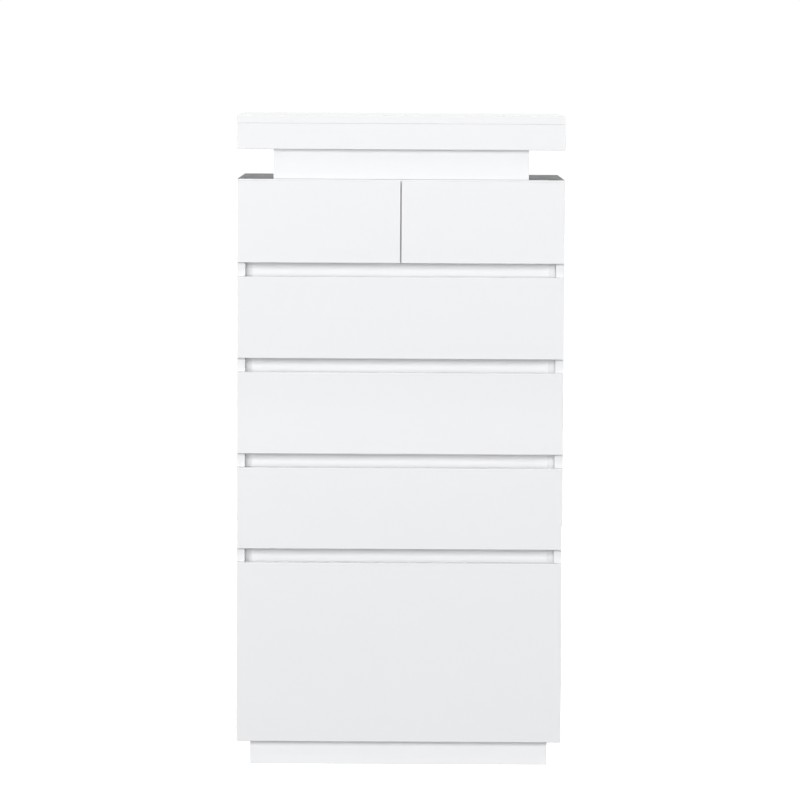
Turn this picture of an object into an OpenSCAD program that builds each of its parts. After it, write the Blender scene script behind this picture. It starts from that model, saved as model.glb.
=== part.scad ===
// Tall handle-less chest of drawers: a plinth, a case with six drawers on ball-bearing
// slides, recessed finger rails in place of handles, and a top slab floating on a neck.
// Millimetres. X is to the right, Y to the back, Z up. The origin is on the floor under
// the middle of the chest.

/* [Overall] */
// Overall width
width = 600; // [500:5:900]
// Overall depth
depth = 400; // [395:5:480]
// Thickness of the case, plinth and slab boards
board = 15; // [12:1:19]

/* [Heights] */
// Height of the plinth
plinth_h = 45; // [40:1:90]
// Height of the gap in front of each finger rail
groove_h = 25.5; // [22:0.5:32]
// Height of the bottom drawer front
bottom_front_h = 332; // [250:1:400]
// Height of each of the other drawer fronts
small_front_h = 150; // [120:1:200]
// Height of the neck that carries the slab
neck_h = 55; // [30:1:90]
// Height of the top slab
slab_h = 62; // [50:1:80]

/* [Drawers] */
// Thickness of a drawer front
front_t = 16; // [15:1:19]
// Gap between a closed drawer front and the case behind it
front_gap = 1; // [1:0.5:3]
// Gap between the two top drawer fronts
pair_gap = 2; // [2:0.5:5]
// Thickness of the drawer side and back boards
box_board = 12; // [10:1:15]
// Thickness of a drawer bottom
box_floor = 5; // [3:1:6]
// Length of a drawer box and of its slides
box_l = 350; // [300:50:350]
// Space between a drawer box and the board beside it, which the slide fills
slide_gap = 12.5; // [12.5:0.5:14]

/* [Recesses] */
// Distance of the finger rails behind the front edge of the case
rail_setback = 30; // [25:1:40]
// Distance of the plinth behind the drawer faces
plinth_setback = 30; // [10:1:60]
// Distance of the plinth inside each side of the case
plinth_inset = 25; // [10:1:60]
// Distance of the neck inside each side of the case
neck_inset = 66; // [30:1:120]

/* [Wall fixing] */
// Distance between the two wall screws
wall_screw_spacing = 400; // [200:10:500]
// Diameter of a wall screw hole
wall_screw_d = 6; // [4:0.5:8]

/* [Hidden] */
$fn = 48;
node = "all";

// Depth stations, from the drawer faces to the wall
slab_front = -depth / 2;
face_overhang = 8;
face_y = slab_front + face_overhang;
box_front = face_y + front_t;
case_front = box_front + front_gap;
pin_head_t = 0.5;
back_t = 3;
back_y = depth / 2 - pin_head_t - back_t;
rail_y = case_front + rail_setback;

// Width stations
half_w = width / 2;
inner_x = half_w - board;
front_reveal = 1;
front_half_w = half_w - front_reveal;
partition_half = board / 2;

// Height stations, from the floor up
bottom_front_z = plinth_h + front_reveal;
front_tops = [
    bottom_front_z + bottom_front_h,
    for (k = [1 : 4]) bottom_front_z + bottom_front_h + k * (groove_h + small_front_h)
];
groove_bottoms = [for (k = [0 : 3]) front_tops[k]];
top_front_z = groove_bottoms[3] + groove_h;
top_reveal = 3;
case_h = front_tops[4] + top_reveal;
case_top_z = case_h - board;
neck_top_z = case_h + neck_h;
chest_h = neck_top_z + slab_h;

// Finger rails reach past their groove, behind the fronts below and above it
rail_below = 28;
rail_above = 18;
shelf_z = top_front_z + rail_above - board;

// Wall rail, at the back under the case top
wall_rail_h = 68;
wall_rail_z = case_top_z - wall_rail_h;
wall_rail_y = back_y - board;
wall_screw_z = wall_rail_z + wall_rail_h / 2;

// Neck and slab
neck_back = 150;
slab_underside_t = 9;
slab_rail_h = slab_h - board;

// Plinth
plinth_front = face_y + plinth_setback;
plinth_back = 175;
plinth_half_w = half_w - plinth_inset;

// Drawer boxes: clearance to the finger rails below and above
box_lift = rail_above + 4;
box_drop = rail_below + 4;
floor_lift = 10;
floor_tongue = 5;
pair_half_w = (inner_x - partition_half) / 2;
pair_x = partition_half + pair_half_w;

// Slides: a fixed outer channel and a moving inner channel, both of folded steel
slide_t = 1.5;
slide_outer_h = 35;
slide_inner_h = 30;
slide_flange = 10.5;
slide_inner_flange = 9;
slide_lift = 48;
slide_y = case_front + 2;

// Dowels that join the case boards, and pins that hold the back panel
dowel_d = 8;
dowel_l = 30;
dowel_ys = [-110, 0, 110];
dowel_gap = 0.02;
pin_d = 1.4;
pin_head_d = 5;
pin_l = 18;
pin_pitch = 110;
back_margin = 2;

// Each drawer: name, centre in x, half width of its front, bottom and top of its front,
// half width of its box
DRAWERS = [
    ["bottom_drawer", 0, front_half_w, bottom_front_z, front_tops[0], inner_x - slide_gap],
    for (k = [1 : 3])
        [["lower_drawer", "middle_drawer", "upper_drawer"][k - 1], 0, front_half_w,
            front_tops[k] - small_front_h, front_tops[k], inner_x - slide_gap],
    for (side = [1, -1])
        [side < 0 ? "top_left_drawer" : "top_right_drawer",
            side * (pair_gap / 2 + (front_half_w - pair_gap / 2) / 2),
            (front_half_w - pair_gap / 2) / 2,
            top_front_z, front_tops[4], pair_half_w - slide_gap]
];
DRAWER_PARTS = ["front", "sides", "back", "bottom", "runners"];

CASE_NODES = [
    "left_side_panel", "right_side_panel", "case_top_panel", "case_bottom_panel",
    "back_panel", "back_panel_pins", "wall_rail", "centre_partition", "fixed_shelf",
    "finger_rail_1", "finger_rail_2", "finger_rail_3", "finger_rail_4",
    "plinth_front", "plinth_back", "plinth_left", "plinth_right",
    "neck_front", "neck_back", "neck_left", "neck_right",
    "slab_front_rail", "slab_back_rail", "slab_left_rail", "slab_right_rail",
    "slab_underside", "top_board", "case_dowels", "fixed_runners"
];
NODES = concat(CASE_NODES, [for (d = DRAWERS) for (p = DRAWER_PARTS) str(d[0], "_", p)]);

WHITE = [0.95, 0.95, 0.94];
INTERIOR = [0.90, 0.90, 0.88];
TOP_GREY = [0.58, 0.58, 0.59];
HARDBOARD = [0.55, 0.42, 0.30];
STEEL = [0.70, 0.71, 0.72];
BEECH = [0.82, 0.68, 0.50];

function is_drawn(name) = node == "all" || node == name;
// The box of a pair of drawers is centred between its side panel and the partition
function box_x(d) = d[1] == 0 ? 0 : sign(d[1]) * pair_x;
function box_z0(d) = d[3] + box_lift;
function box_z1(d) = d[4] - box_drop;

// A board given by its lowest and highest corners
module slab_of(low, high) {
    translate(low) cube(high - low);
}

// ---- Case ----

// Centres of the dowels that run in x, through a side panel into the board beside it
function dowel_points() = [
    for (side = [-1, 1]) each concat(
        [for (y = dowel_ys) [side * inner_x, y, plinth_h + board / 2]],
        [for (y = dowel_ys) [side * inner_x, y, shelf_z + board / 2]],
        [for (z = groove_bottoms) [side * inner_x, rail_y + board / 2, z + groove_h / 2]],
        [[side * inner_x, wall_rail_y + board / 2, wall_screw_z]]
    )
];

module case_dowels() {
    color(BEECH)
        for (p = dowel_points())
            // The blind socket in the side panel is a third of the dowel
            translate([p[0] - sign(p[0]) * dowel_l / 6, p[1], p[2]])
                rotate([0, 90, 0]) cylinder(d = dowel_d, h = dowel_l, center = true);
}

module dowel_sockets() {
    for (p = dowel_points())
        translate([p[0] - sign(p[0]) * dowel_l / 6, p[1], p[2]])
            rotate([0, 90, 0])
                cylinder(d = dowel_d + 2 * dowel_gap, h = dowel_l + 0.4, center = true);
}

module doweled(low, high) {
    difference() {
        slab_of(low, high);
        dowel_sockets();
    }
}

module side_panel(side) {
    color(WHITE) doweled(
        [side > 0 ? inner_x : -half_w, case_front, plinth_h],
        [side > 0 ? half_w : -inner_x, back_y, case_top_z]
    );
}

module case_top_panel() {
    color(TOP_GREY) slab_of([-half_w, case_front, case_top_z], [half_w, back_y, case_h]);
}

module case_bottom_panel() {
    color(INTERIOR) doweled([-inner_x, case_front, plinth_h], [inner_x, back_y, plinth_h + board]);
}

module fixed_shelf() {
    color(INTERIOR)
        doweled([-inner_x, rail_y + board, shelf_z], [inner_x, back_y, shelf_z + board]);
}

module centre_partition() {
    color(INTERIOR) slab_of(
        [-partition_half, case_front, shelf_z + board],
        [partition_half, wall_rail_y, case_top_z]
    );
}

module finger_rail(groove_z) {
    color(WHITE) doweled(
        [-inner_x, rail_y, groove_z - rail_below],
        [inner_x, rail_y + board, groove_z + groove_h + rail_above]
    );
}

// The pair of wall screw holes runs through the wall rail and the back panel
module wall_screw_holes() {
    for (side = [-1, 1])
        translate([side * wall_screw_spacing / 2, wall_rail_y - 1, wall_screw_z])
            rotate([-90, 0, 0]) cylinder(d = wall_screw_d, h = board + back_t + 2);
}

module wall_rail() {
    color(WHITE) difference() {
        doweled([-inner_x, wall_rail_y, wall_rail_z], [inner_x, back_y, case_top_z]);
        wall_screw_holes();
    }
}

// Pins round the edge of the back panel, and along the shelf
function spread(a, b) =
    let (n = max(1, round((b - a) / pin_pitch))) [for (k = [0 : n]) a + (b - a) * k / n];
function pin_points() =
    let (px = half_w - board / 2, pz0 = plinth_h + board / 2, pz1 = case_h - board / 2)
    concat(
        [for (z = spread(pz0, pz1)) for (side = [-1, 1]) [side * px, z]],
        [for (z = [pz0, shelf_z + board / 2, pz1])
            let (xs = spread(-px, px)) for (k = [1 : len(xs) - 2]) [xs[k], z]]
    );

module back_panel() {
    color(HARDBOARD) difference() {
        slab_of(
            [-half_w + back_margin, back_y, plinth_h + back_margin],
            [half_w - back_margin, back_y + back_t, case_h - back_margin]
        );
        wall_screw_holes();
    }
}

module back_panel_pins() {
    color(STEEL)
        for (p = pin_points())
            translate([p[0], back_y + back_t, p[1]]) rotate([-90, 0, 0]) {
                cylinder(d = pin_head_d, h = pin_head_t);
                translate([0, 0, -pin_l]) cylinder(d = pin_d, h = pin_l + 0.1);
            }
}

// ---- Plinth, neck and slab ----

// One of the four boards of a ring: the front and back run the full width
module ring_board(which, half_x, y0, y1, z0, z1) {
    if (which == "front") slab_of([-half_x, y0, z0], [half_x, y0 + board, z1]);
    if (which == "back") slab_of([-half_x, y1 - board, z0], [half_x, y1, z1]);
    if (which == "left") slab_of([-half_x, y0 + board, z0], [-half_x + board, y1 - board, z1]);
    if (which == "right") slab_of([half_x - board, y0 + board, z0], [half_x, y1 - board, z1]);
}

module plinth_board(which) {
    color(WHITE) ring_board(which, plinth_half_w, plinth_front, plinth_back, 0, plinth_h);
}

module neck_board(which) {
    color(WHITE)
        ring_board(which, half_w - neck_inset, case_front, neck_back, case_h, neck_top_z);
}

module slab_rail(which) {
    color(WHITE) ring_board(
        which, half_w, slab_front, depth / 2, neck_top_z, neck_top_z + slab_rail_h
    );
}

module slab_underside() {
    color(WHITE) slab_of(
        [-inner_x, slab_front + board, neck_top_z],
        [inner_x, depth / 2 - board, neck_top_z + slab_underside_t]
    );
}

module top_board() {
    color(WHITE)
        slab_of([-half_w, slab_front, chest_h - board], [half_w, depth / 2, chest_h]);
}

// ---- Slides ----

// A folded channel, open towards +X, with its web's outer face on x = 0
module channel(height, flange) {
    translate([0, 0, -height / 2]) cube([slide_t, box_l, height]);
    for (z = [-height / 2, height / 2 - slide_t])
        translate([0, 0, z]) cube([flange, box_l, slide_t]);
}

// Both slides of a drawer, at the two faces that lie half_gap from its centre
module slide_pair(d, half_gap, height, flange, outwards) {
    for (side = [-1, 1])
        translate([box_x(d) + side * half_gap, slide_y, box_z0(d) + slide_lift])
            mirror([side * outwards > 0 ? 0 : 1, 0, 0]) channel(height, flange);
}

module fixed_runners() {
    color(STEEL)
        for (d = DRAWERS) slide_pair(d, d[5] + slide_gap, slide_outer_h, slide_flange, -1);
}

module drawer_runners(d) {
    color(STEEL) slide_pair(d, d[5], slide_inner_h, slide_inner_flange, 1);
}

// ---- Drawers ----

// The bottom panel's space, let into the front, the sides and the back
module drawer_bottom(d) {
    inside = d[5] - box_board + floor_tongue;
    z0 = box_z0(d) + floor_lift;
    color(INTERIOR) slab_of(
        [box_x(d) - inside, box_front - floor_tongue, z0],
        [box_x(d) + inside, box_front + box_l - box_board + floor_tongue, z0 + box_floor]
    );
}

module drawer_front(d) {
    color(WHITE) difference() {
        slab_of([d[1] - d[2], face_y, d[3]], [d[1] + d[2], box_front, d[4]]);
        drawer_bottom(d);
    }
}

module drawer_sides(d) {
    color(INTERIOR) difference() {
        for (side = [-1, 1])
            translate([box_x(d) + side * (d[5] - box_board / 2), 0, 0]) slab_of(
                [-box_board / 2, box_front, box_z0(d)],
                [box_board / 2, box_front + box_l, box_z1(d)]
            );
        drawer_bottom(d);
    }
}

module drawer_back(d) {
    inside = d[5] - box_board;
    back_face = box_front + box_l;
    color(INTERIOR) difference() {
        slab_of(
            [box_x(d) - inside, back_face - box_board, box_z0(d)],
            [box_x(d) + inside, back_face, box_z1(d)]
        );
        drawer_bottom(d);
    }
}

// ---- Assembly ----

if (is_drawn("left_side_panel")) side_panel(-1);
if (is_drawn("right_side_panel")) side_panel(1);
if (is_drawn("case_top_panel")) case_top_panel();
if (is_drawn("case_bottom_panel")) case_bottom_panel();
if (is_drawn("back_panel")) back_panel();
if (is_drawn("back_panel_pins")) back_panel_pins();
if (is_drawn("wall_rail")) wall_rail();
if (is_drawn("centre_partition")) centre_partition();
if (is_drawn("fixed_shelf")) fixed_shelf();
for (k = [1 : 4])
    if (is_drawn(str("finger_rail_", k))) finger_rail(groove_bottoms[4 - k]);
for (which = ["front", "back", "left", "right"]) {
    if (is_drawn(str("plinth_", which))) plinth_board(which);
    if (is_drawn(str("neck_", which))) neck_board(which);
    if (is_drawn(str("slab_", which, "_rail"))) slab_rail(which);
}
if (is_drawn("slab_underside")) slab_underside();
if (is_drawn("top_board")) top_board();
if (is_drawn("case_dowels")) case_dowels();
if (is_drawn("fixed_runners")) fixed_runners();
for (d = DRAWERS) {
    if (is_drawn(str(d[0], "_front"))) drawer_front(d);
    if (is_drawn(str(d[0], "_sides"))) drawer_sides(d);
    if (is_drawn(str(d[0], "_back"))) drawer_back(d);
    if (is_drawn(str(d[0], "_bottom"))) drawer_bottom(d);
    if (is_drawn(str(d[0], "_runners"))) drawer_runners(d);
}
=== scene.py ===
import math

import bmesh
import bpy
from mathutils import Matrix, Vector


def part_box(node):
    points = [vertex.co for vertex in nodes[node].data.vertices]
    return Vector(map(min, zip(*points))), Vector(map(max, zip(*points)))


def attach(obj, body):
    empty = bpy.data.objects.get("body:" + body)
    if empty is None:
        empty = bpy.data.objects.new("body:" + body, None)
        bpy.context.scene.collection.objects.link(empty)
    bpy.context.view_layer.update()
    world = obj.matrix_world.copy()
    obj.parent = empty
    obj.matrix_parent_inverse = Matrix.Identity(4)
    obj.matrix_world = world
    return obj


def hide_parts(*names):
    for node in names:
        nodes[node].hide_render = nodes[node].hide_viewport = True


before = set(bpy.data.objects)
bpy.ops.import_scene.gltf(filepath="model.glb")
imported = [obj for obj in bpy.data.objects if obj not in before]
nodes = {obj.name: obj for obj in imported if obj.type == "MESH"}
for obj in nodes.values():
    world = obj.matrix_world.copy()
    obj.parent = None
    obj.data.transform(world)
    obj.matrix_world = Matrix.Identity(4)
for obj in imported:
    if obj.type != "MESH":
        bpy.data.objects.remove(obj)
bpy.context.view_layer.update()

MM = 0.001
DRAWERS = [
    "top_left_drawer", "top_right_drawer", "upper_drawer", "middle_drawer", "lower_drawer",
    "bottom_drawer",
]
CASE = "case"

# ---- Edges, in metres ----
LACQUER_EDGE = 0.9 * MM
MELAMINE_EDGE = 0.7 * MM
HARDBOARD_EDGE = 0.3 * MM
STEEL_EDGE = 0.35 * MM
NYLON_EDGE = 1.5 * MM
SHARP_ANGLE = math.radians(40)


# ======================================================================
# Materials
# ======================================================================

class Finish:
    """A Principled material and the small node steps that its textures are made of."""

    def __init__(self, name, **sockets):
        self.material = bpy.data.materials.new(name)
        self.material.use_nodes = True
        self.tree = self.material.node_tree
        self.shader = self.tree.nodes["Principled BSDF"]
        place = self.tree.nodes.new("ShaderNodeTexCoord")
        self.place = place.outputs["Object"]
        for socket, value in sockets.items():
            self.shader.inputs[socket.replace("_", " ")].default_value = value

    def node(self, kind, **settings):
        made = self.tree.nodes.new(kind)
        for key, value in settings.items():
            setattr(made, key, value)
        return made

    def link(self, source, target):
        self.tree.links.new(source, target)

    def stretched(self, scale):
        mapping = self.node("ShaderNodeMapping")
        mapping.inputs["Scale"].default_value = scale
        self.link(self.place, mapping.inputs["Vector"])
        return mapping.outputs["Vector"]

    def noise(self, size, detail=2.0, roughness=0.5, stretch=(1, 1, 1)):
        """Noise from 0 to 1 whose blotches are about size metres across."""
        texture = self.node("ShaderNodeTexNoise")
        texture.inputs["Scale"].default_value = 1 / size
        texture.inputs["Detail"].default_value = detail
        texture.inputs["Roughness"].default_value = roughness
        self.link(self.stretched(stretch), texture.inputs["Vector"])
        return texture.outputs["Fac"]

    def wave(self, size, direction, distortion=0.0):
        texture = self.node("ShaderNodeTexWave", bands_direction=direction)
        texture.inputs["Scale"].default_value = 0.314 / size
        texture.inputs["Distortion"].default_value = distortion
        texture.inputs["Detail"].default_value = 1.0
        self.link(self.place, texture.inputs["Vector"])
        return texture.outputs["Fac"]

    def ranged(self, value, low, high, to_low, to_high):
        made = self.node("ShaderNodeMapRange")
        for socket, number in zip(
            ("From Min", "From Max", "To Min", "To Max"), (low, high, to_low, to_high)
        ):
            made.inputs[socket].default_value = number
        self.link(value, made.inputs["Value"])
        return made.outputs["Result"]

    def maths(self, operation, a, b):
        made = self.node("ShaderNodeMath", operation=operation)
        for socket, value in zip(made.inputs, (a, b)):
            if isinstance(value, (int, float)):
                socket.default_value = value
            else:
                self.link(value, socket)
        return made.outputs["Value"]

    def mix(self, factor, a, b):
        made = self.node("ShaderNodeMix", data_type="RGBA")
        self.link(factor, made.inputs["Factor"])
        for socket, value in ((made.inputs[6], a), (made.inputs[7], b)):
            if isinstance(value, tuple):
                socket.default_value = (*value, 1.0)
            else:
                self.link(value, socket)
        return made.outputs[2]

    def colour(self, socket):
        self.link(socket, self.shader.inputs["Base Color"])

    def roughness(self, socket):
        self.link(socket, self.shader.inputs["Roughness"])

    def bump(self, *heights):
        """Heights are (0 to 1 socket, metres from its low to its high)."""
        below = None
        for height, metres in heights:
            made = self.node("ShaderNodeBump")
            made.inputs["Distance"].default_value = metres
            self.link(height, made.inputs["Height"])
            if below:
                self.link(below, made.inputs["Normal"])
            below = made.outputs["Normal"]
        self.link(below, self.shader.inputs["Normal"])


def white_lacquer(name, whiteness):
    """Sprayed gloss lacquer: a clear coat over white, with faint orange peel and cloudiness."""
    f = Finish(name, Coat_Weight=0.6, Coat_Roughness=0.05, Coat_IOR=1.5, IOR=1.46)
    clouds = f.noise(0.35, detail=3.0)
    cool_white = Vector((0.985, 0.992, 1.008)) * whiteness
    f.colour(f.mix(clouds, tuple(cool_white * 0.985), tuple(cool_white * 1.015)))
    f.roughness(f.ranged(f.noise(0.15, detail=4.0), 0.3, 0.7, 0.19, 0.22))
    f.bump((f.noise(0.005, detail=1.0), 0.003 * MM), (f.noise(0.12, detail=1.0), 0.010 * MM))
    return f.material


def satin_top_painted_shade():
    """The grey satin face of the case top, its grey darkened further as painted shade from the slab
    above it. The grey satin face of the case top, in a grey tuned to how dark it looks.
    """
    f = Finish("satin_case_top_painted_shade", Specular_IOR_Level=0.15)
    # Painted shade: these greys are darker than the face's own grey, standing in for the shade under
    # the slab.
    f.colour(f.mix(f.noise(0.05, detail=5.0), (0.262, 0.260, 0.267), (0.292, 0.290, 0.297)))
    f.roughness(f.ranged(f.noise(0.01, detail=3.0), 0.3, 0.7, 0.38, 0.5))
    f.bump((f.noise(0.0008, detail=2.0), 0.01 * MM))
    return f.material


def white_melamine():
    """Satin melamine with the pearled press-plate texture of cabinet board."""
    f = Finish("satin_white_melamine", IOR=1.48)
    f.colour(f.mix(f.noise(0.12, detail=4.0), (0.760, 0.760, 0.750), (0.800, 0.800, 0.792)))
    f.roughness(f.ranged(f.noise(0.004, detail=3.0), 0.3, 0.7, 0.36, 0.5))
    f.bump((f.noise(0.0012, detail=3.0, roughness=0.6), 0.02 * MM))
    return f.material


def drawer_base():
    """White-faced hardboard printed with a fine linen weave."""
    f = Finish("linen_drawer_base", IOR=1.45)
    weave = f.maths("MULTIPLY", f.wave(1.6 * MM, "X", 1.2), f.wave(1.6 * MM, "Y", 1.2))
    threads = f.ranged(weave, 0.0, 0.6, 0.0, 1.0)
    tone = f.mix(threads, (0.615, 0.612, 0.600), (0.735, 0.733, 0.722))
    slubs = f.ranged(f.noise(0.02, detail=5.0, stretch=(1, 6, 1)), 0.35, 0.75, 0.0, 1.0)
    f.colour(f.mix(slubs, tone, (0.745, 0.742, 0.730)))
    f.roughness(f.ranged(f.noise(0.006), 0.3, 0.7, 0.45, 0.6))
    f.bump((weave, 0.04 * MM))
    return f.material


def hardboard():
    """Bare brown hardboard: pressed fibre, darker flecks, a faint screen pattern."""
    f = Finish("brown_hardboard", IOR=1.4, Specular_IOR_Level=0.3)
    fibre = f.noise(0.011, detail=8.0, roughness=0.75, stretch=(1.6, 1, 0.7))
    blotch = f.noise(0.16, detail=6.0, roughness=0.62)
    body = f.mix(f.ranged(fibre, 0.3, 0.7, 0.0, 1.0), (0.140, 0.080, 0.044),
                 (0.330, 0.212, 0.128))
    body = f.mix(f.ranged(blotch, 0.38, 0.62, 0.0, 0.6), body, (0.200, 0.118, 0.068))
    flecks = f.ranged(f.noise(0.007, detail=3.0), 0.62, 0.72, 0.0, 0.75)
    body = f.mix(flecks, body, (0.085, 0.046, 0.026))
    chips = f.ranged(f.noise(0.013, detail=3.0, stretch=(0.5, 1, 1.8)), 0.64, 0.72, 0.0, 0.5)
    f.colour(f.mix(chips, body, (0.430, 0.300, 0.190)))
    f.roughness(f.ranged(fibre, 0.2, 0.8, 0.62, 0.85))
    screen = f.maths("MULTIPLY", f.wave(1.3 * MM, "X", 0.6), f.wave(1.3 * MM, "Z", 0.6))
    f.bump((fibre, 0.10 * MM), (screen, 0.05 * MM))
    return f.material


def zinc_steel():
    """Bright zinc plate over rolled steel: fine lines along the slide and a mottled bloom."""
    f = Finish("zinc_plated_steel", Metallic=1.0, Anisotropic=0.45)
    lines = f.noise(0.0012, detail=4.0, stretch=(1, 0.02, 1))
    bloom = f.noise(0.03, detail=4.0)
    base = f.mix(bloom, (0.36, 0.37, 0.385), (0.48, 0.485, 0.48))
    f.colour(f.mix(f.ranged(lines, 0.3, 0.7, 0.0, 0.45), base, (0.27, 0.28, 0.29)))
    f.roughness(f.ranged(f.maths("ADD", lines, bloom), 0.6, 1.4, 0.22, 0.42))
    f.bump((lines, 0.008 * MM))
    return f.material


def beech():
    """Fluted beech dowel: pale, with short dark rays along the length."""
    f = Finish("beech_wood", IOR=1.45)
    grain = f.noise(0.0015, detail=6.0, stretch=(0.08, 1, 1))
    f.colour(f.mix(grain, (0.44, 0.27, 0.145), (0.67, 0.47, 0.29)))
    f.roughness(f.ranged(grain, 0.3, 0.7, 0.5, 0.7))
    f.bump((grain, 0.05 * MM))
    return f.material


def white_plastic():
    """Moulded white plastic, with a fine spark-eroded grain."""
    f = Finish("white_plastic", IOR=1.5)
    f.colour(f.mix(f.noise(0.01), (0.70, 0.70, 0.69), (0.76, 0.76, 0.75)))
    f.roughness(f.ranged(f.noise(0.0006, detail=2.0), 0.3, 0.7, 0.38, 0.5))
    f.bump((f.noise(0.0005, detail=2.0), 0.012 * MM))
    return f.material


def clear_bumper():
    """Soft clear polyurethane, a little cloudy."""
    f = Finish("clear_bumper", Transmission_Weight=0.6, IOR=1.49)
    f.colour(f.mix(f.noise(0.004), (0.86, 0.87, 0.88), (0.92, 0.93, 0.94)))
    f.roughness(f.ranged(f.noise(0.002), 0.3, 0.7, 0.14, 0.24))
    f.bump((f.noise(0.003, detail=1.0), 0.02 * MM))
    return f.material


def dark_plastic():
    """Black nylon of the slide's end stops."""
    f = Finish("black_nylon", IOR=1.5)
    f.colour(f.mix(f.noise(0.008), (0.018, 0.018, 0.020), (0.034, 0.034, 0.037)))
    f.roughness(f.ranged(f.noise(0.0008, detail=2.0), 0.3, 0.7, 0.4, 0.55))
    f.bump((f.noise(0.0006), 0.015 * MM))
    return f.material


LACQUER = white_lacquer("gloss_white_lacquer", 0.815)
# The same lacquer whitened further as painted light, for boards that sit back in shade.
LACQUER_PAINTED_LIGHT = white_lacquer("white_lacquer_painted_light", 0.905)
TOP_FACE_PAINTED_SHADE = satin_top_painted_shade()
MELAMINE = white_melamine()
BASE = drawer_base()
HARDBOARD = hardboard()
ZINC = zinc_steel()
BEECH = beech()
PLASTIC = white_plastic()
BUMPER = clear_bumper()
NYLON = dark_plastic()


# ======================================================================
# Building blocks
# ======================================================================

def piece(name, mesh_code, material, body, replaced=(), edge=None, segments=3, flat=False):
    """Makes an object of a bmesh, with rounded edges, and joins it to a CAD body."""
    mesh = bpy.data.meshes.new(name)
    bmesh.ops.recalc_face_normals(mesh_code, faces=mesh_code.faces)
    mesh_code.to_mesh(mesh)
    mesh_code.free()
    made = bpy.data.objects.new(name, mesh)
    bpy.context.scene.collection.objects.link(made)
    for one in material if isinstance(material, list) else [material]:
        mesh.materials.append(one)
    if edge:
        round_edges(made, edge, segments, flat)
    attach(made, body)
    if replaced:
        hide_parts(*replaced)
    return made


def round_edges(made, width, segments, flat):
    """Rounds every sharp edge, with normals that keep the faces flat."""
    for face in made.data.polygons:
        face.use_smooth = not flat
    bevel = made.modifiers.new("rounded_edges", "BEVEL")
    bevel.width = width
    bevel.segments = segments
    bevel.limit_method = "ANGLE"
    bevel.angle_limit = SHARP_ANGLE
    bevel.harden_normals = not flat


def add_box(code, low, high):
    size = Vector(high) - Vector(low)
    middle = (Vector(high) + Vector(low)) / 2
    place = Matrix.Translation(middle) @ Matrix.Diagonal((*size, 1.0))
    return bmesh.ops.create_cube(code, size=1.0, matrix=place)["verts"]


def boxes(*corners):
    code = bmesh.new()
    for low, high in corners:
        add_box(code, low, high)
    return code


def add_prism(code, outline, axis, start, end):
    """Adds an outline of 2D points pushed along an axis. They fill the other two axes in order."""
    other = [k for k in range(3) if k != axis]

    def at(point, along):
        spot = [0.0, 0.0, 0.0]
        spot[other[0]], spot[other[1]] = point
        spot[axis] = along
        return spot

    rings = [[code.verts.new(at(p, along)) for p in outline] for along in (start, end)]
    for ring in rings:
        code.faces.new(ring)
    count = len(outline)
    for k in range(count):
        n = (k + 1) % count
        code.faces.new((rings[0][k], rings[0][n], rings[1][n], rings[1][k]))


def add_lathe(code, profile, centre, direction, sides=24):
    """Turns a profile of (radius, height) points about a direction from a centre."""
    turn = Vector((0, 0, 1)).rotation_difference(Vector(direction)).to_matrix()
    rings = []
    for radius, height in profile:
        if radius < 1e-7:
            rings.append([code.verts.new(Vector(centre) + turn @ Vector((0, 0, height)))])
            continue
        ring = []
        for k in range(sides):
            angle = 2 * math.pi * k / sides
            spot = Vector((radius * math.cos(angle), radius * math.sin(angle), height))
            ring.append(code.verts.new(Vector(centre) + turn @ spot))
        rings.append(ring)
    for below, above in zip(rings, rings[1:]):
        for k in range(sides):
            n = (k + 1) % sides
            if len(below) == 1:
                code.faces.new((below[0], above[n], above[k]))
            elif len(above) == 1:
                code.faces.new((below[k], below[n], above[0]))
            else:
                code.faces.new((below[k], below[n], above[n], above[k]))


def board(node, material, edge, body=CASE, name=None):
    """A finished board in the place of a CAD board."""
    low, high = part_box(node)
    return piece(name or node + "_finished", boxes((low, high)), material, body,
                 replaced=[node], edge=edge)


# ======================================================================
# Case, plinth, neck and slab
# ======================================================================

RING = ("front", "back", "left", "right")
LACQUERED = (
    ["top_board", "slab_underside", "left_side_panel", "right_side_panel"]
    + [f"slab_{which}_rail" for which in RING]
    + [f"neck_{which}" for which in RING]
)
# These sit back in shade. Their brighter white is painted light: it makes up for light that this
# studio doesn't give them, and isn't a second paint.
SET_BACK = [f"plinth_{which}" for which in RING] + [f"finger_rail_{k}" for k in (1, 2, 3, 4)]
for node in LACQUERED:
    board(node, LACQUER, LACQUER_EDGE)
for node in SET_BACK:
    board(node, LACQUER_PAINTED_LIGHT, LACQUER_EDGE)

# ---- Filler strips at both ends of each finger rail, a guess at what darkens them there ----

FILLER_WIDTH = 12 * MM
FILLER_PROUD = 1 * MM
FILLER_EDGE = 0.5 * MM

for rail in SET_BACK[-4:]:
    low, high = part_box(rail)
    strips = boxes(*(
        ((x, low.y - FILLER_PROUD, low.z), (x + FILLER_WIDTH, low.y, high.z))
        for x in (low.x, high.x - FILLER_WIDTH)
    ))
    piece(rail + "_fillers", strips, LACQUER, CASE, edge=FILLER_EDGE)

for node in ("case_bottom_panel", "centre_partition", "fixed_shelf"):
    board(node, MELAMINE, MELAMINE_EDGE)

# The case top has a grey satin upper face, darkened further as painted shade, and white edges.
top_panel = board("case_top_panel", [LACQUER, TOP_FACE_PAINTED_SHADE], LACQUER_EDGE)
for face in top_panel.data.polygons:
    if face.normal.z > 0.5:
        face.material_index = 1


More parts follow.
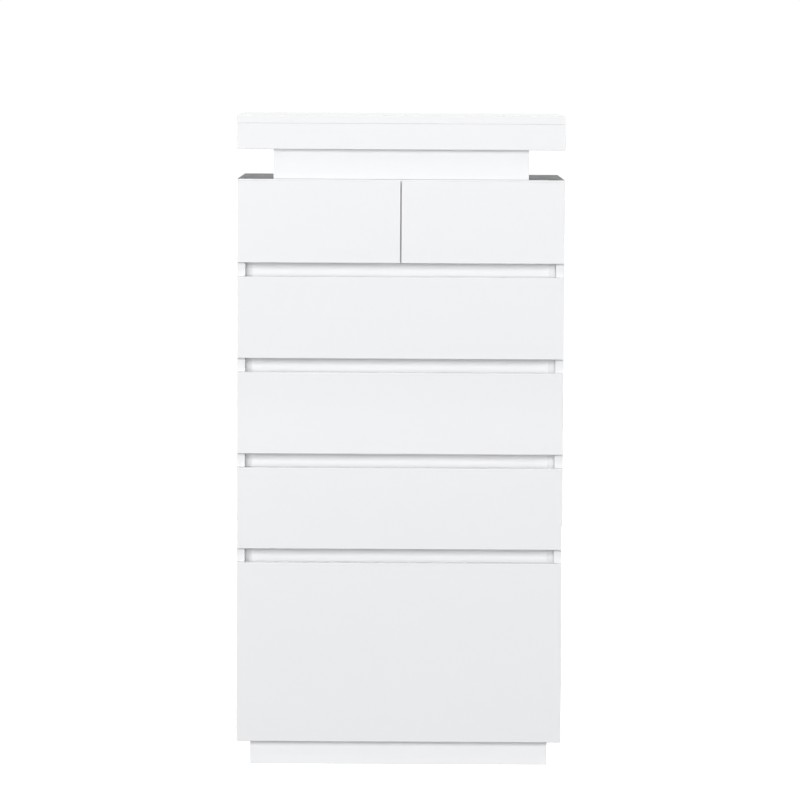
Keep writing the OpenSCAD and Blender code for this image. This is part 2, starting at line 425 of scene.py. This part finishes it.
def rebuilt(node, name, material, edge):
    """A CAD board with holes, remade with whole faces in place of its triangles."""
    code = bmesh.new()
    code.from_mesh(nodes[node].data)
    bmesh.ops.remove_doubles(code, verts=code.verts, dist=0.01 * MM)
    bmesh.ops.dissolve_limit(code, angle_limit=math.radians(1), verts=code.verts,
                             edges=code.edges)
    return piece(name, code, material, CASE, replaced=[node], edge=edge, segments=2,
                 flat=True)


rebuilt("wall_rail", "wall_rail_drilled", MELAMINE, HARDBOARD_EDGE)
rebuilt("back_panel", "back_panel_drilled", HARDBOARD, HARDBOARD_EDGE)


def repaint(node, material):
    """Gives a CAD node that stays in view its material."""
    for place in nodes[node].material_slots:
        place.link = "OBJECT"
        place.material = material


repaint("case_dowels", BEECH)


# ======================================================================
# Drawers
# ======================================================================

def side_boards(drawer):
    """Both side boards, each with the groove that holds the bottom panel."""
    low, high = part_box(drawer + "_sides")
    floor_low, floor_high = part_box(drawer + "_bottom")
    back_low, back_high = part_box(drawer + "_back")
    code = bmesh.new()
    for outer, inner, tongue in (
        (low.x, back_low.x, floor_low.x), (high.x, back_high.x, floor_high.x)
    ):
        outline = [
            (outer, low.z), (inner, low.z), (inner, floor_low.z), (tongue, floor_low.z),
            (tongue, floor_high.z), (inner, floor_high.z), (inner, high.z), (outer, high.z),
        ]
        add_prism(code, outline, 1, low.y, high.y)
    piece(drawer + "_side_boards", code, MELAMINE, drawer,
          replaced=[drawer + "_sides"], edge=MELAMINE_EDGE)


for drawer in DRAWERS:
    board(drawer + "_front", LACQUER, LACQUER_EDGE, drawer)
    side_boards(drawer)
    board(drawer + "_back", MELAMINE, MELAMINE_EDGE, drawer)
    board(drawer + "_bottom", BASE, HARDBOARD_EDGE, drawer)


# ======================================================================
# Slides
# ======================================================================

SLIDE_GAP = 12.5 * MM
STEEL = 1.5 * MM
FOLD = 2.6 * MM
FIXED_HEIGHT = 35 * MM
FIXED_FLANGE = 10.5 * MM
FOLD_STEPS = 6
SCREW_PLACES = (0.12, 0.5, 0.88)
STOP_HALF = 11 * MM
STOP_LENGTH = 14 * MM
FIXED_STOP_LENGTH = STOP_LENGTH * 0.7
STOP_GAP = 2 * MM


def arc(centre, radius, start, end):
    """Points on an arc, with the angles in quarter turns."""
    points = []
    for k in range(FOLD_STEPS + 1):
        angle = (start + (end - start) * k / FOLD_STEPS) * math.pi / 2
        points.append((centre[0] + radius * math.cos(angle),
                       centre[1] + radius * math.sin(angle)))
    return points


def channel_outline(web, tip, middle, height):
    """The section of a folded steel channel whose web stands at web and whose flanges end at tip."""
    side = 1 if tip > web else -1
    reach, half = abs(tip - web), height / 2
    outer = ([(reach, half)] + arc((FOLD, half - FOLD), FOLD, 1, 2)
             + arc((FOLD, FOLD - half), FOLD, 2, 3) + [(reach, -half)])
    inner = ([(reach, STEEL - half)] + arc((FOLD, FOLD - half), FOLD - STEEL, 3, 2)
             + arc((FOLD, half - FOLD), FOLD - STEEL, 2, 1) + [(reach, half - STEEL)])
    return [(web + side * x, middle + z) for x, z in outer + inner]


def pan_head(code, centre, direction, radius=3.3 * MM, height=1.5 * MM):
    """A pan-head screw with a driver socket."""
    socket = radius * 0.42
    profile = [
        (radius, 0), (radius, height * 0.35), (radius * 0.93, height * 0.7),
        (radius * 0.74, height * 0.94), (socket * 1.1, height), (socket, height * 0.95),
        (socket * 0.75, height * 0.35), (0, height * 0.3),
    ]
    add_lathe(code, profile, centre, direction, sides=20)


def slide_screws(code, face, inwards, low_y, high_y, middle):
    for share in SCREW_PLACES:
        y = low_y + (high_y - low_y) * share
        pan_head(code, (face, y, middle), (inwards, 0, 0))


def slides(drawer):
    """Both slides of a drawer. The fixed channels stay with the case, the moving ones ride along."""
    low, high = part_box(drawer + "_runners")
    middle = (low.z + high.z) / 2
    moving, fixed, screws_m, screws_f = (bmesh.new() for _ in range(4))
    stops_m, stops_f = bmesh.new(), bmesh.new()
    for web, tip, out in ((low_web(drawer), low.x, -1), (high_web(drawer), high.x, 1)):
        panel = web + out * SLIDE_GAP
        add_prism(moving, channel_outline(web, tip, middle, high.z - low.z), 1, low.y, high.y)
        add_prism(fixed, channel_outline(panel, panel - out * FIXED_FLANGE, middle, FIXED_HEIGHT),
                  1, low.y, high.y)
        slide_screws(screws_m, web + out * STEEL, out, low.y, high.y, middle)
        slide_screws(screws_f, panel - out * STEEL, -out, low.y, high.y, middle)
        near, far = sorted((web + out * STEEL, panel - out * (STEEL + STOP_GAP + MM)))
        add_box(stops_m, (near, high.y - STOP_LENGTH, middle - STOP_HALF),
                (far, high.y, middle + STOP_HALF))
        near, far = sorted((web + out * (STEEL + STOP_GAP), panel - out * STEEL))
        add_box(stops_f, (near, low.y, middle - STOP_HALF),
                (far, low.y + FIXED_STOP_LENGTH, middle + STOP_HALF))
    piece(drawer + "_moving_slides", moving, ZINC, drawer,
          replaced=[drawer + "_runners"], edge=STEEL_EDGE, segments=2)
    piece(drawer + "_fixed_slides", fixed, ZINC, CASE,
          replaced=["fixed_runners"], edge=STEEL_EDGE, segments=2)
    smooth(piece(drawer + "_slide_screws", screws_m, ZINC, drawer))
    smooth(piece(drawer + "_fixed_slide_screws", screws_f, ZINC, CASE))
    piece(drawer + "_slide_stops", stops_m, NYLON, drawer, edge=NYLON_EDGE)
    piece(drawer + "_fixed_slide_stops", stops_f, NYLON, CASE, edge=NYLON_EDGE)


def low_web(drawer):
    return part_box(drawer + "_sides")[0].x


def high_web(drawer):
    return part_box(drawer + "_sides")[1].x


def smooth(made):
    """Smooth shading that keeps the corners sharper than SHARP_ANGLE."""
    for face in made.data.polygons:
        face.use_smooth = True
    made.data.set_sharp_from_angle(angle=SHARP_ANGLE)
    return made


for drawer in DRAWERS:
    slides(drawer)


# ======================================================================
# Fittings
# ======================================================================

CAM_RADIUS = 8.5 * MM
CAM_PROUD = 0.9 * MM
CAM_SETBACK = 24 * MM
CAM_HEIGHT_STEPS = (14 * MM, 82 * MM)
DEEP_CAM_HEIGHTS = (14 * MM, 82 * MM, 170 * MM, 258 * MM)
CORNER_SCREW_SETBACK = 6 * MM
BUMPER_RADIUS = 3.6 * MM
BUMPER_THICKNESS = 0.9 * MM
BUMPER_INSET = 6 * MM
BUMPER_DROP = 12 * MM
DEEP_BOX = 0.2
CORNER_SCREW_HEAD = 0.8 * MM


def cam_cover(code, centre, direction):
    """A thin domed cap with a raised rim and a round central hollow, over a cam fitting."""
    r, h = CAM_RADIUS, CAM_PROUD
    add_lathe(code, [
        (r, 0), (r, h * 0.45), (r * 0.96, h * 0.8), (r * 0.88, h), (r * 0.8, h),
        (r * 0.74, h * 0.72), (r * 0.4, h * 0.66), (r * 0.34, h * 0.2), (0, h * 0.15),
    ], centre, direction, sides=32)


def box_fittings(drawer):
    """Cam covers near the front and screws at the rear corners of a drawer box."""
    low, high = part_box(drawer + "_sides")
    deep = high.z - low.z > DEEP_BOX
    covers, screws = bmesh.new(), bmesh.new()
    for x, out in ((low.x, -1), (high.x, 1)):
        for height in DEEP_CAM_HEIGHTS if deep else CAM_HEIGHT_STEPS:
            cam_cover(covers, (x, low.y + CAM_SETBACK, low.z + height), (out, 0, 0))
            pan_head(screws, (x, high.y - CORNER_SCREW_SETBACK, low.z + height), (out, 0, 0),
                     height=CORNER_SCREW_HEAD)
    smooth(piece(drawer + "_cam_covers", covers, PLASTIC, drawer))
    smooth(piece(drawer + "_corner_screws", screws, ZINC, drawer))


def front_bumpers(drawer):
    """Clear dots behind the corners of a drawer front, which meet the case as it closes."""
    low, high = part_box(drawer + "_front")
    dots = bmesh.new()
    r, t = BUMPER_RADIUS, BUMPER_THICKNESS
    for x in (low.x + BUMPER_INSET, high.x - BUMPER_INSET):
        for z in (low.z + BUMPER_DROP, high.z - BUMPER_DROP):
            add_lathe(dots, [(r, 0), (r, t * 0.4), (r * 0.9, t * 0.78), (r * 0.6, t), (0, t)],
                      (x, high.y, z), (0, 1, 0), sides=24)
    smooth(piece(drawer + "_bumpers", dots, BUMPER, drawer))


for drawer in DRAWERS:
    box_fittings(drawer)
    front_bumpers(drawer)


# ---- Pins of the back panel, a row along each edge and one along the shelf ----

PIN_PITCH = 0.110
PIN_HEAD_RADIUS = 2.4 * MM
PIN_HEAD = 0.5 * MM
HALF_BOARD = 7.5 * MM


def spread(start, end):
    count = max(1, round((end - start) / PIN_PITCH))
    return [start + (end - start) * k / count for k in range(count + 1)]


def back_pins():
    case_low, case_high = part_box("case_bottom_panel")[0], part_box("case_top_panel")[1]
    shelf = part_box("fixed_shelf")
    back_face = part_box("back_panel")[1].y
    side = case_high.x - HALF_BOARD
    levels = (case_low.z + HALF_BOARD, (shelf[0].z + shelf[1].z) / 2, case_high.z - HALF_BOARD)
    places = [(s * side, z) for z in spread(levels[0], levels[2]) for s in (-1, 1)]
    places += [(x, z) for z in levels for x in spread(-side, side)[1:-1]]
    code = bmesh.new()
    r, h = PIN_HEAD_RADIUS, PIN_HEAD
    for x, z in places:
        add_lathe(code, [
            (0.7 * MM, -2 * MM), (0.7 * MM, 0), (r, 0), (r, h * 0.5), (r * 0.8, h * 0.85),
            (r * 0.4, h), (0, h),
        ], (x, back_face, z), (0, 1, 0), sides=16)
    smooth(piece("back_panel_pin_heads", code, ZINC, CASE,
                 replaced=["back_panel_pins"]))


back_pins()


# ======================================================================
# Floor, light and camera
# ======================================================================

FACE_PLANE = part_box("upper_drawer_front")[0].y
CAMERA_DISTANCE = 8.0
CAMERA_HEIGHT = 1.30
AIM_HEIGHT = 0.679
PIXELS_PER_METRE = 546.6
IMAGE_WIDTH = 800
SENSOR = 36.0
ROLL = math.radians(0.3)
FLOOR_REACH = 40.0
FLOOR_GREY = 0.25
FLOOR_GLOW = 0.92

# Brightness of the backdrop, and the heights (as a direction's z) between which it fades
BACKDROP = 1.02
ZENITH = 0.35
HORIZON_TOP = 0.2
ZENITH_START = 0.75


def make_camera():
    data = bpy.data.cameras.new("camera")
    data.sensor_width = SENSOR
    data.lens = PIXELS_PER_METRE * CAMERA_DISTANCE * SENSOR / IMAGE_WIDTH
    data.clip_end = 100
    camera = bpy.data.objects.new("camera", data)
    bpy.context.scene.collection.objects.link(camera)
    camera.location = (0, FACE_PLANE - CAMERA_DISTANCE, CAMERA_HEIGHT)
    aim = Vector((0, FACE_PLANE, AIM_HEIGHT)) - camera.location
    camera.rotation_mode = "QUATERNION"
    camera.rotation_quaternion = (
        aim.to_track_quat("-Z", "Y") @ Matrix.Rotation(ROLL, 3, "Z").to_quaternion()
    )
    bpy.context.scene.camera = camera


def area_light(name, place, target, size, watts, mirrored=True):
    data = bpy.data.lights.new(name, "AREA")
    data.shape = "RECTANGLE"
    data.size, data.size_y = size
    data.energy = watts
    light = bpy.data.objects.new(name, data)
    bpy.context.scene.collection.objects.link(light)
    light.location = place
    light.rotation_mode = "QUATERNION"
    aim = Vector(target) - Vector(place)
    light.rotation_quaternion = aim.to_track_quat("-Z", "Y")
    light.visible_camera = False
    light.visible_glossy = mirrored


def make_world():
    """A backdrop that is white at the horizon and grey overhead. It gives no diffuse light."""
    world = bpy.data.worlds.new("studio")
    bpy.context.scene.world = world
    world.use_nodes = True
    tree = world.node_tree
    direction = tree.nodes.new("ShaderNodeTexCoord").outputs["Generated"]
    split = tree.nodes.new("ShaderNodeSeparateXYZ")
    tree.links.new(direction, split.inputs["Vector"])
    fade = tree.nodes.new("ShaderNodeMapRange")
    fade.interpolation_type = "SMOOTHSTEP"
    for socket, number in zip(
        ("From Min", "From Max", "To Min", "To Max"),
        (HORIZON_TOP, ZENITH_START, BACKDROP, ZENITH),
    ):
        fade.inputs[socket].default_value = number
    tree.links.new(split.outputs["Z"], fade.inputs["Value"])
    tree.links.new(fade.outputs["Result"], tree.nodes["Background"].inputs["Strength"])
    tree.nodes["Background"].inputs["Color"].default_value = (1.0, 1.0, 1.0, 1.0)
    world.cycles_visibility.diffuse = False


def make_floor():
    """A pale floor, bright enough to meet the white backdrop without a line."""
    mesh = bpy.data.meshes.new("floor")
    r = FLOOR_REACH
    mesh.from_pydata(
        [(-r, -r, 0), (r, -r, 0), (r, r, 0), (-r, r, 0)],
        [], [(0, 1, 2, 3)],
    )
    floor = bpy.data.objects.new("floor", mesh)
    bpy.context.scene.collection.objects.link(floor)
    f = Finish("pale_floor", Roughness=0.6)
    f.shader.inputs["Base Color"].default_value = (FLOOR_GREY, FLOOR_GREY, FLOOR_GREY, 1.0)
    f.shader.inputs["Emission Color"].default_value = (1.0, 1.0, 1.0, 1.0)
    f.shader.inputs["Emission Strength"].default_value = FLOOR_GLOW
    mesh.materials.append(f.material)
    floor.visible_diffuse = False


make_world()
make_floor()
area_light("front_key", (-0.75, -8.4, 2.1), (0, 0, 0.8), (5.5, 3.1), 690, mirrored=False)
area_light("upper_front", (0.0, -3.2, 3.6), (0, 0, 0.8), (2.0, 1.6), 21, mirrored=False)
area_light("overhead", (0.0, 0.2, 3.6), (0, 0, 0.5), (2.6, 2.6), 38)
area_light("left_softbox", (-3.6, 0.2, 0.52), (0, 0, 0.52), (2.2, 1.0), 112, mirrored=False)
area_light("right_softbox", (3.6, 0.2, 0.52), (0, 0, 0.52), (2.2, 1.0), 86, mirrored=False)
area_light("back_softbox", (0.6, 4.0, 0.52), (0, 0, 0.52), (2.2, 1.0), 130, mirrored=False)
make_camera()
scene = bpy.context.scene
scene.view_settings.view_transform = "Standard"
scene.view_settings.look = "None"
